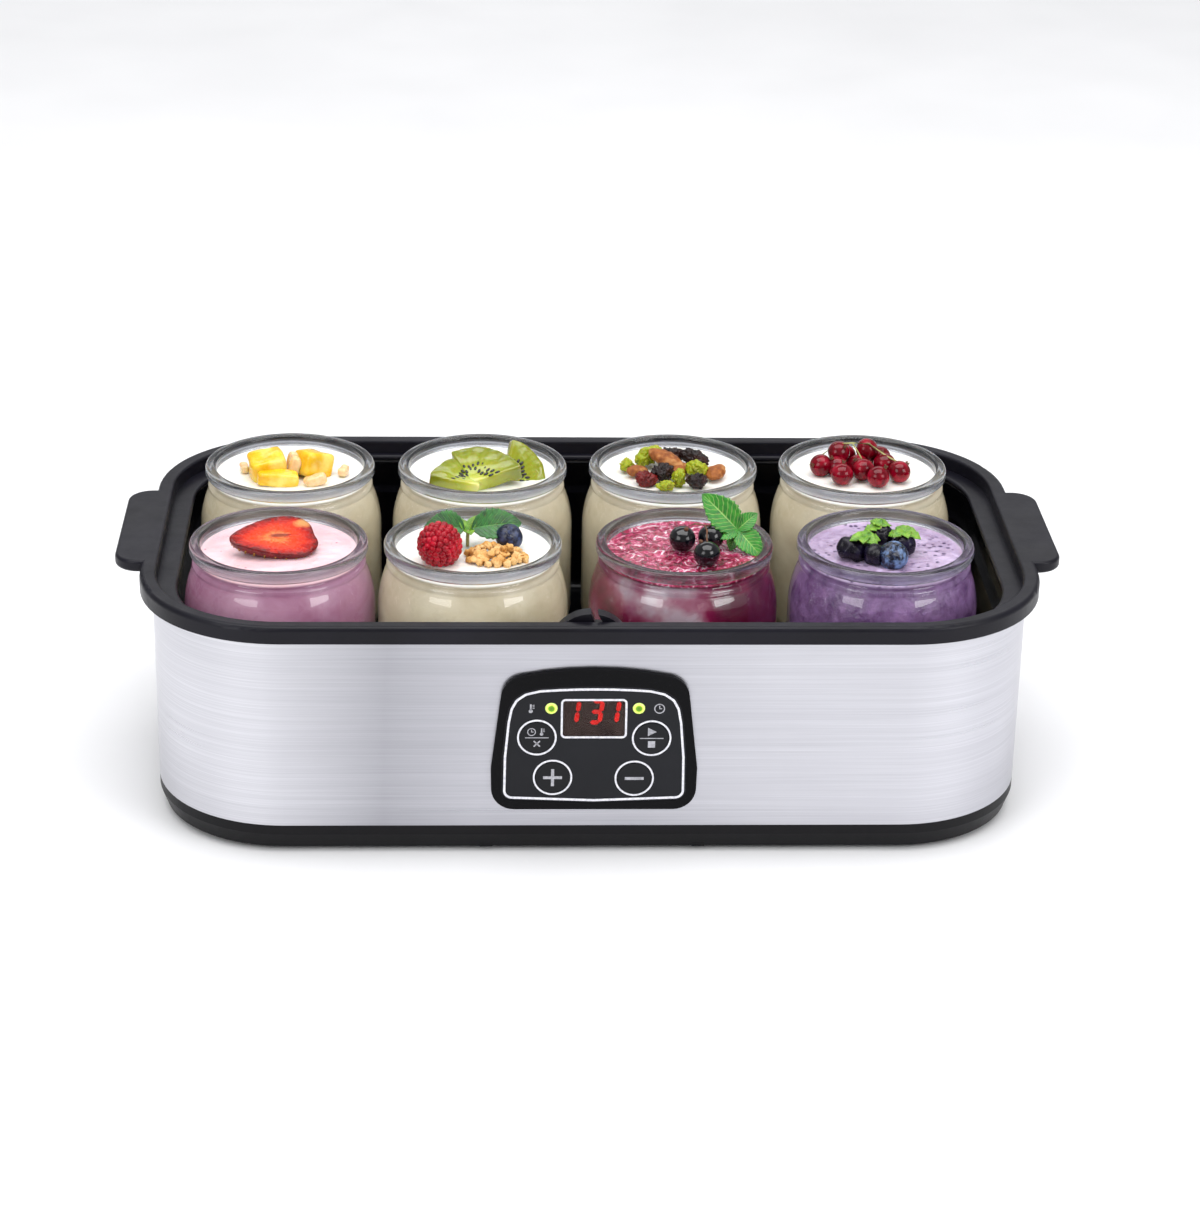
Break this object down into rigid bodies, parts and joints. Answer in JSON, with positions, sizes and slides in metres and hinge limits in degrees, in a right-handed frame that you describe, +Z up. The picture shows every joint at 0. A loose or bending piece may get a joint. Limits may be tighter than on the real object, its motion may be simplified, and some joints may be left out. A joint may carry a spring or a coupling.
{
  "type": "yogurt maker",
  "caption": "Oblong electric yogurt maker: steel-wrapped warming tub with end handles, front keypad and display, holding round glass jars of topped yogurt.",
  "frame": {"origin": "middle of the footprint, on the surface the rubber feet stand on", "axes": "+X to the right along the long side, +Y from the control panel towards the back, +Z up"},
  "size_m": [0.381, 0.204, 0.13],
  "materials": {
    "base_plastic": "fine moulded grain",
    "foot_rubber": "matt",
    "screw_steel": "plain zinc",
    "wrap_steel": "satin, brushed along its length",
    "rim_plastic": "satin moulded",
    "tub_gloss": "polished",
    "seal_rubber": "matt silicone",
    "bezel_gloss": "polished",
    "panel_black": "satin film",
    "print_white": "printed line",
    "smoked_window": "smoked",
    "module_black": "moulded",
    "digit_red": "lit",
    "led_green": "lit",
    "board_green": "solder mask",
    "cable_grey": "ribbon",
    "plate_aluminium": "mill finish",
    "cable_silicone": "silicone",
    "fuse_metal": "plain",
    "sensor_blue": "epoxy",
    "relay_blue": "moulded",
    "winding_tape": "taped",
    "capacitor_sleeve": "sleeve",
    "terminal_green": "moulded",
    "gland_rubber": "matt",
    "key_black": "satin",
    "jar_glass": "clear",
    "yogurt_plain": "smooth, slightly wet",
    "yogurt_strawberry": "smooth, slightly wet",
    "yogurt_berry": "mottled, wet",
    "yogurt_blueberry": "speckled, slightly wet",
    "food_mango_cubes": "wet",
    "food_kiwi_pieces": "wet",
    "food_nuts_and_raisins": "dry",
    "food_red_currants": "glossy skin",
    "food_strawberry_half": "wet cut face",
    "food_berries_and_granola": "mixed",
    "food_blackcurrants_and_mint": "glossy skin, leaves",
    "food_blueberries_and_mint": "bloomed skin, leaves"
  },
  "bodies": {
    "case": {"base_tray": "base_plastic", "rubber_feet": "foot_rubber", "base_screws": "screw_steel", "steel_wrap_front": "wrap_steel", "steel_wrap_back": "wrap_steel", "rim_collar": "rim_plastic", "inner_tub": "tub_gloss", "tub_seal": "seal_rubber", "tub_screws": "screw_steel", "control_bezel": "bezel_gloss", "control_panel": "panel_black", "panel_trim": "print_white", "display_window": "smoked_window", "display_module": "module_black", "display_digits": "digit_red", "status_leds": "led_green", "display_board": "board_green", "display_board_screws": "screw_steel", "tact_switches": "module_black", "ribbon_cable": "cable_grey", "heater_plate": "plate_aluminium", "heating_cable": "cable_silicone", "thermal_fuse": "fuse_metal", "temperature_sensor": "sensor_blue", "power_board": "board_green", "power_board_screws": "screw_steel", "relay": "relay_blue", "transformer": "winding_tape", "capacitors": "capacitor_sleeve", "terminal_block": "terminal_green", "cord_gland": "gland_rubber"},
    "set_key": {"set_key": "key_black"},
    "start_key": {"start_key": "key_black"},
    "plus_key": {"plus_key": "key_black"},
    "minus_key": {"minus_key": "key_black"},
    "filled_jar_1": {"jar_1": "jar_glass", "yogurt_1": "yogurt_plain", "mango_cubes": "food_mango_cubes"},
    "filled_jar_2": {"jar_2": "jar_glass", "yogurt_2": "yogurt_plain", "kiwi_pieces": "food_kiwi_pieces"},
    "filled_jar_3": {"jar_3": "jar_glass", "yogurt_3": "yogurt_plain", "nuts_and_raisins": "food_nuts_and_raisins"},
    "filled_jar_4": {"jar_4": "jar_glass", "yogurt_4": "yogurt_plain", "red_currants": "food_red_currants"},
    "filled_jar_5": {"jar_5": "jar_glass", "yogurt_5": "yogurt_strawberry", "strawberry_half": "food_strawberry_half"},
    "filled_jar_6": {"jar_6": "jar_glass", "yogurt_6": "yogurt_plain", "berries_and_granola": "food_berries_and_granola"},
    "filled_jar_7": {"jar_7": "jar_glass", "yogurt_7": "yogurt_berry", "blackcurrants_and_mint": "food_blackcurrants_and_mint"},
    "filled_jar_8": {"jar_8": "jar_glass", "yogurt_8": "yogurt_blueberry", "blueberries_and_mint": "food_blueberries_and_mint"}
  },
  "joints": [
    {"name": "set_key_press", "type": "slide", "parent": "case", "child": "set_key", "axis": [0, 1, 0], "range_m": [0, 0.0008], "stiffness_N_per_m": 300},
    {"name": "start_key_press", "type": "slide", "parent": "case", "child": "start_key", "axis": [0, 1, 0], "range_m": [0, 0.0008], "stiffness_N_per_m": 300},
    {"name": "plus_key_press", "type": "slide", "parent": "case", "child": "plus_key", "axis": [0, 1, 0], "range_m": [0, 0.0008], "stiffness_N_per_m": 300},
    {"name": "minus_key_press", "type": "slide", "parent": "case", "child": "minus_key", "axis": [0, 1, 0], "range_m": [0, 0.0008], "stiffness_N_per_m": 300},
    {"name": "jar_1_lift", "type": "slide", "parent": "case", "child": "filled_jar_1", "axis": [0, 0, 1], "range_m": [0, 0.1]},
    {"name": "jar_2_lift", "type": "slide", "parent": "case", "child": "filled_jar_2", "axis": [0, 0, 1], "range_m": [0, 0.1]},
    {"name": "jar_3_lift", "type": "slide", "parent": "case", "child": "filled_jar_3", "axis": [0, 0, 1], "range_m": [0, 0.1]},
    {"name": "jar_4_lift", "type": "slide", "parent": "case", "child": "filled_jar_4", "axis": [0, 0, 1], "range_m": [0, 0.1]},
    {"name": "jar_5_lift", "type": "slide", "parent": "case", "child": "filled_jar_5", "axis": [0, 0, 1], "range_m": [0, 0.1]},
    {"name": "jar_6_lift", "type": "slide", "parent": "case", "child": "filled_jar_6", "axis": [0, 0, 1], "range_m": [0, 0.1]},
    {"name": "jar_7_lift", "type": "slide", "parent": "case", "child": "filled_jar_7", "axis": [0, 0, 1], "range_m": [0, 0.1]},
    {"name": "jar_8_lift", "type": "slide", "parent": "case", "child": "filled_jar_8", "axis": [0, 0, 1], "range_m": [0, 0.1]}
  ]
}
